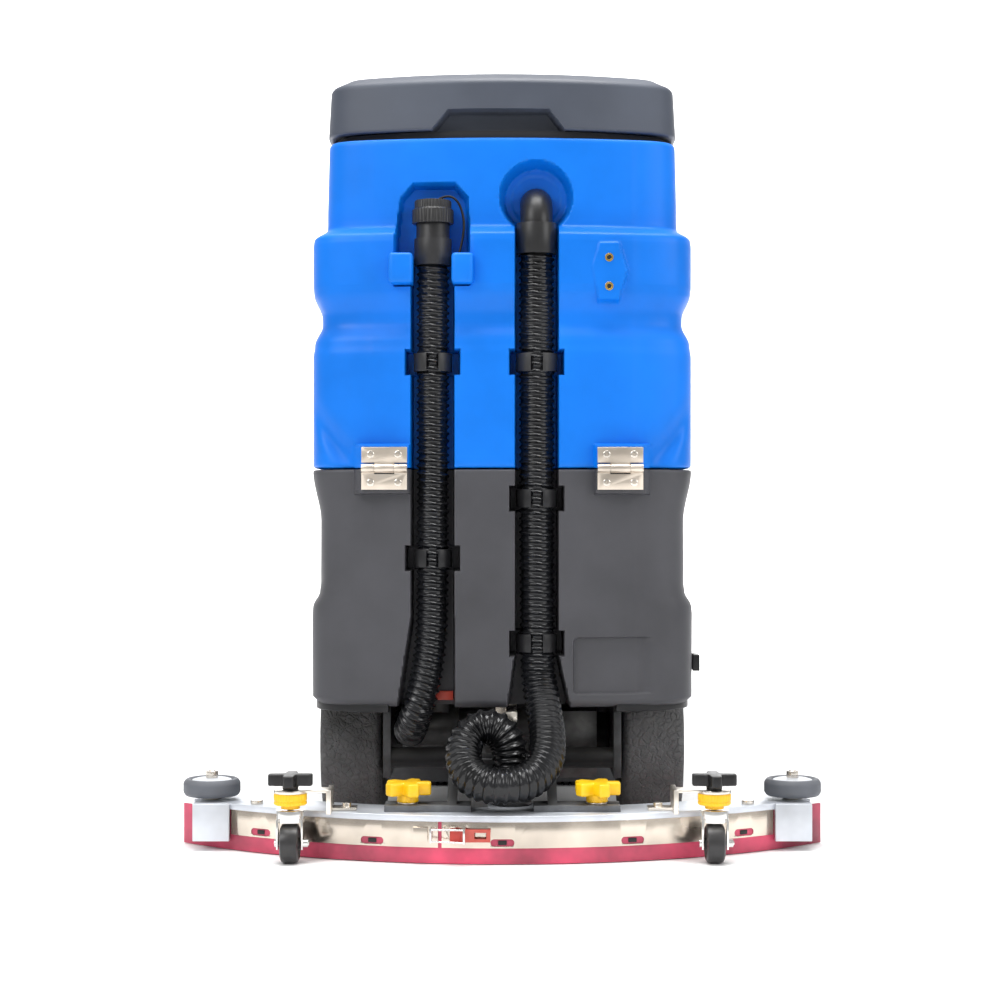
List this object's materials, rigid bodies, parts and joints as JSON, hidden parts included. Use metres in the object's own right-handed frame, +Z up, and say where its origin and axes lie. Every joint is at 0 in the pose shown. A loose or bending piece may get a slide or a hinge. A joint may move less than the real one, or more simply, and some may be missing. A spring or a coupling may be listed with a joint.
{
  "type": "ride-on floor scrubber",
  "caption": "Compact ride-on floor scrubber with tipping recovery tank, curved rear squeegee, brush deck and steered front wheel.",
  "frame": {"origin": "on the floor under the middle of the machine", "axes": "+X to the machine's right, +Y forward, +Z up"},
  "size_m": [0.85, 1.3212, 1.034],
  "materials": {
    "batteries": "matt",
    "blade_band": "bright stainless",
    "brush_deck": "powder coat",
    "brush_motors": "satin black",
    "cap_tether": "black cord",
    "chassis_hose_fittings": "black nylon",
    "deck_arms": "satin black paint",
    "drain_cap": "black",
    "drain_hose": "glossy black",
    "drive_pedal": "ribbed",
    "emergency_stop": "red",
    "filler_cap": "black",
    "footplate": "ribbed mat",
    "frame": "satin black paint",
    "front_cowl": "fine textured dark grey",
    "front_fork": "satin black paint",
    "front_wheel": "matt tread",
    "hinge_lower_leaves": "brushed stainless",
    "hinge_upper_leaves": "brushed stainless",
    "horn_button": "black",
    "key_switch": "polished",
    "latch_hook": "bright wire",
    "latch_lever": "red coated steel",
    "left_brush": "bristle",
    "left_caster_fork": "bright",
    "left_caster_wheel": "black",
    "left_height_nut": "yellow",
    "left_lock_knob": "black",
    "left_mount_knob": "yellow",
    "left_roller": "grey polyurethane",
    "left_wheel": "matt tread",
    "lid_gasket": "foam",
    "lift_actuator": "zinc plated",
    "lift_chain": "yellow zinc plated",
    "lower_body": "fine textured dark grey",
    "recovery_tank": "satin blue",
    "right_brush": "bristle",
    "right_caster_fork": "bright",
    "right_caster_wheel": "black",
    "right_height_nut": "yellow",
    "right_lock_knob": "black",
    "right_mount_knob": "yellow",
    "right_roller": "grey polyurethane",
    "right_wheel": "matt tread",
    "seat_base": "black",
    "seat_cushions": "black vinyl",
    "squeegee_arm": "satin black paint",
    "squeegee_blades": "raspberry polyurethane",
    "squeegee_casting": "silver painted casting",
    "squeegee_hardware": "satin",
    "squeegee_yoke": "dark grey powder coat",
    "steering_wheel": "soft grip",
    "suction_inlet": "black",
    "tank_hose_fittings": "black nylon",
    "tank_lid": "fine textured blue grey",
    "threaded_inserts": "bright",
    "transaxle": "die cast",
    "vacuum_hose": "glossy black",
    "vacuum_motor": "satin black",
    "valve_handle": "red"
  },
  "bodies": {
    "chassis": {"frame": "frame", "lower_body": "lower_body", "transaxle": "transaxle", "batteries": "batteries", "front_cowl": "front_cowl", "footplate": "footplate", "lift_actuator": "lift_actuator", "lift_chain": "lift_chain", "chassis_hose_fittings": "chassis_hose_fittings", "hinge_lower_leaves": "hinge_lower_leaves", "vacuum_hose": "vacuum_hose", "drain_hose": "drain_hose"},
    "valve_handle": {"valve_handle": "valve_handle"},
    "filler_cap": {"filler_cap": "filler_cap"},
    "steering_wheel": {"steering_wheel": "steering_wheel"},
    "front_fork": {"front_fork": "front_fork"},
    "front_wheel": {"front_wheel": "front_wheel"},
    "left_wheel": {"left_wheel": "left_wheel"},
    "right_wheel": {"right_wheel": "right_wheel"},
    "key_switch": {"key_switch": "key_switch"},
    "emergency_stop": {"emergency_stop": "emergency_stop"},
    "horn_button": {"horn_button": "horn_button"},
    "drive_pedal": {"drive_pedal": "drive_pedal"},
    "brush_deck": {"brush_deck": "brush_deck", "brush_motors": "brush_motors"},
    "left_brush": {"left_brush": "left_brush"},
    "right_brush": {"right_brush": "right_brush"},
    "deck_arms": {"deck_arms": "deck_arms"},
    "squeegee_arm": {"squeegee_arm": "squeegee_arm"},
    "squeegee": {"squeegee_yoke": "squeegee_yoke", "squeegee_casting": "squeegee_casting", "squeegee_blades": "squeegee_blades", "blade_band": "blade_band", "suction_inlet": "suction_inlet", "squeegee_hardware": "squeegee_hardware"},
    "latch_lever": {"latch_lever": "latch_lever"},
    "latch_hook": {"latch_hook": "latch_hook"},
    "left_roller": {"left_roller": "left_roller"},
    "right_roller": {"right_roller": "right_roller"},
    "left_caster": {"left_caster_fork": "left_caster_fork"},
    "right_caster": {"right_caster_fork": "right_caster_fork"},
    "left_caster_wheel": {"left_caster_wheel": "left_caster_wheel"},
    "right_caster_wheel": {"right_caster_wheel": "right_caster_wheel"},
    "left_lock_knob": {"left_lock_knob": "left_lock_knob"},
    "right_lock_knob": {"right_lock_knob": "right_lock_knob"},
    "left_height_nut": {"left_height_nut": "left_height_nut"},
    "right_height_nut": {"right_height_nut": "right_height_nut"},
    "left_mount_knob": {"left_mount_knob": "left_mount_knob"},
    "right_mount_knob": {"right_mount_knob": "right_mount_knob"},
    "recovery_tank": {"recovery_tank": "recovery_tank", "lid_gasket": "lid_gasket", "vacuum_motor": "vacuum_motor", "tank_hose_fittings": "tank_hose_fittings", "cap_tether": "cap_tether", "threaded_inserts": "threaded_inserts", "hinge_upper_leaves": "hinge_upper_leaves", "seat_base": "seat_base", "seat_cushions": "seat_cushions"},
    "tank_lid": {"tank_lid": "tank_lid"},
    "drain_cap": {"drain_cap": "drain_cap"}
  },
  "joints": [
    {"name": "tank_tilt", "type": "hinge", "parent": "chassis", "child": "recovery_tank", "pos_m": [0, -0.537, 0.4995], "axis": [1, 0, 0], "range_deg": [0, 75], "deforming": ["vacuum_hose", "drain_hose"]},
    {"name": "lid_open", "type": "hinge", "parent": "recovery_tank", "child": "tank_lid", "pos_m": [0, -0.1, 0.947], "axis": [-1, 0, 0], "range_deg": [0, 80]},
    {"name": "drain_cap_turn", "type": "hinge", "parent": "recovery_tank", "child": "drain_cap", "pos_m": [-0.092, -0.504, 0.83], "axis": [0, 0, 1], "continuous": true},
    {"name": "steering_turn", "type": "hinge", "parent": "chassis", "child": "steering_wheel", "pos_m": [0, 0.44, 0.874], "axis": [0, -0.4226, 0.9063], "range_deg": [-120, 120]},
    {"name": "fork_turn", "type": "hinge", "parent": "chassis", "child": "front_fork", "pos_m": [0, 0.5, 0.3], "axis": [0, 0, 1], "range_deg": [-60, 60]},
    {"name": "front_wheel_spin", "type": "hinge", "parent": "front_fork", "child": "front_wheel", "pos_m": [0, 0.5, 0.11], "axis": [1, 0, 0], "continuous": true},
    {"name": "left_wheel_spin", "type": "hinge", "parent": "chassis", "child": "left_wheel", "pos_m": [-0.2, -0.3, 0.125], "axis": [1, 0, 0], "continuous": true},
    {"name": "right_wheel_spin", "type": "hinge", "parent": "chassis", "child": "right_wheel", "pos_m": [0.2, -0.3, 0.125], "axis": [1, 0, 0], "continuous": true},
    {"name": "valve_turn", "type": "hinge", "parent": "chassis", "child": "valve_handle", "pos_m": [-0.084, -0.47, 0.196], "axis": [0, 1, 0], "range_deg": [0, 90]},
    {"name": "filler_cap_turn", "type": "hinge", "parent": "chassis", "child": "filler_cap", "pos_m": [0.17, 0.15, 0.4], "axis": [0, 1, 0], "range_deg": [0, 90]},
    {"name": "key_turn", "type": "hinge", "parent": "chassis", "child": "key_switch", "pos_m": [-0.08, 0.56, 0.79], "axis": [0, 0, 1], "range_deg": [-90, 0]},
    {"name": "emergency_stop_press", "type": "slide", "parent": "chassis", "child": "emergency_stop", "axis": [0, 0, -1], "range_m": [0, 0.006], "stiffness_N_per_m": 600},
    {"name": "horn_press", "type": "slide", "parent": "chassis", "child": "horn_button", "axis": [0, 0, -1], "range_m": [0, 0.003], "stiffness_N_per_m": 300},
    {"name": "pedal_press", "type": "hinge", "parent": "chassis", "child": "drive_pedal", "pos_m": [0.13, 0.2, 0.231], "axis": [-1, 0, 0], "range_deg": [0, 11], "stiffness_Nm_per_rad": 8, "springref_deg": -5.73},
    {"name": "deck_lift", "type": "slide", "parent": "chassis", "child": "brush_deck", "axis": [0, 0, 1], "range_m": [0, 0.045]},
    {"name": "deck_arm_swing", "type": "hinge", "parent": "chassis", "child": "deck_arms", "pos_m": [0, -0.024, 0.15], "axis": [1, 0, 0], "range_deg": [0, 30]},
    {"name": "left_brush_spin", "type": "hinge", "parent": "brush_deck", "child": "left_brush", "pos_m": [-0.142, 0.18, 0.05], "axis": [0, 0, 1], "continuous": true},
    {"name": "right_brush_spin", "type": "hinge", "parent": "brush_deck", "child": "right_brush", "pos_m": [0.142, 0.18, 0.05], "axis": [0, 0, 1], "continuous": true},
    {"name": "squeegee_lift", "type": "hinge", "parent": "chassis", "child": "squeegee_arm", "pos_m": [0, -0.455, 0.11], "axis": [-1, 0, 0], "range_deg": [0, 15], "deforming": ["vacuum_hose", "lift_chain"]},
    {"name": "squeegee_swing", "type": "hinge", "parent": "squeegee_arm", "child": "squeegee", "pos_m": [0, -0.5, 0.11], "axis": [0, 0, 1], "range_deg": [-12, 12]},
    {"name": "latch_release", "type": "hinge", "parent": "squeegee", "child": "latch_lever", "pos_m": [-0.062, -0.6555, 0.038], "axis": [0, 0, -1], "range_deg": [0, 100]},
    {"name": "latch_hook_swing", "type": "hinge", "parent": "latch_lever", "child": "latch_hook", "pos_m": [-0.048, -0.6646, 0.038], "axis": [0, 0, 1], "range_deg": [0, 120]},
    {"name": "left_roller_spin", "type": "hinge", "parent": "squeegee", "child": "left_roller", "pos_m": [-0.385, -0.506, 0.075], "axis": [0, 0, 1], "continuous": true},
    {"name": "left_caster_swivel", "type": "hinge", "parent": "squeegee", "child": "left_caster", "pos_m": [-0.268, -0.63, 0.06], "axis": [0, 0, 1], "continuous": true},
    {"name": "left_caster_wheel_spin", "type": "hinge", "parent": "left_caster", "child": "left_caster_wheel", "pos_m": [-0.268, -0.635, 0.025], "axis": [1, 0, 0], "continuous": true},
    {"name": "left_lock_knob_turn", "type": "hinge", "parent": "squeegee", "child": "left_lock_knob", "pos_m": [-0.268, -0.63, 0.1], "axis": [0, 0, 1], "continuous": true},
    {"name": "left_height_nut_turn", "type": "hinge", "parent": "squeegee", "child": "left_height_nut", "pos_m": [-0.268, -0.63, 0.08], "axis": [0, 0, 1], "continuous": true},
    {"name": "left_mount_knob_turn", "type": "hinge", "parent": "squeegee", "child": "left_mount_knob", "pos_m": [-0.121, -0.6, 0.085], "axis": [0, 0, 1], "continuous": true},
    {"name": "right_roller_spin", "type": "hinge", "parent": "squeegee", "child": "right_roller", "pos_m": [0.385, -0.506, 0.075], "axis": [0, 0, 1], "continuous": true},
    {"name": "right_caster_swivel", "type": "hinge", "parent": "squeegee", "child": "right_caster", "pos_m": [0.268, -0.63, 0.06], "axis": [0, 0, 1], "continuous": true},
    {"name": "right_caster_wheel_spin", "type": "hinge", "parent": "right_caster", "child": "right_caster_wheel", "pos_m": [0.268, -0.635, 0.025], "axis": [1, 0, 0], "continuous": true},
    {"name": "right_lock_knob_turn", "type": "hinge", "parent": "squeegee", "child": "right_lock_knob", "pos_m": [0.268, -0.63, 0.1], "axis": [0, 0, 1], "continuous": true},
    {"name": "right_height_nut_turn", "type": "hinge", "parent": "squeegee", "child": "right_height_nut", "pos_m": [0.268, -0.63, 0.08], "axis": [0, 0, 1], "continuous": true},
    {"name": "right_mount_knob_turn", "type": "hinge", "parent": "squeegee", "child": "right_mount_knob", "pos_m": [0.121, -0.6, 0.085], "axis": [0, 0, 1], "continuous": true}
  ],
  "couplings": [
    {"joint": "fork_turn", "follows": "steering_turn", "ratio": 0.5},
    {"joint": "deck_arm_swing", "follows": "deck_lift", "rad_per_m": 10.8},
    {"joint": "latch_hook_swing", "follows": "latch_release", "ratio": 1.2}
  ]
}
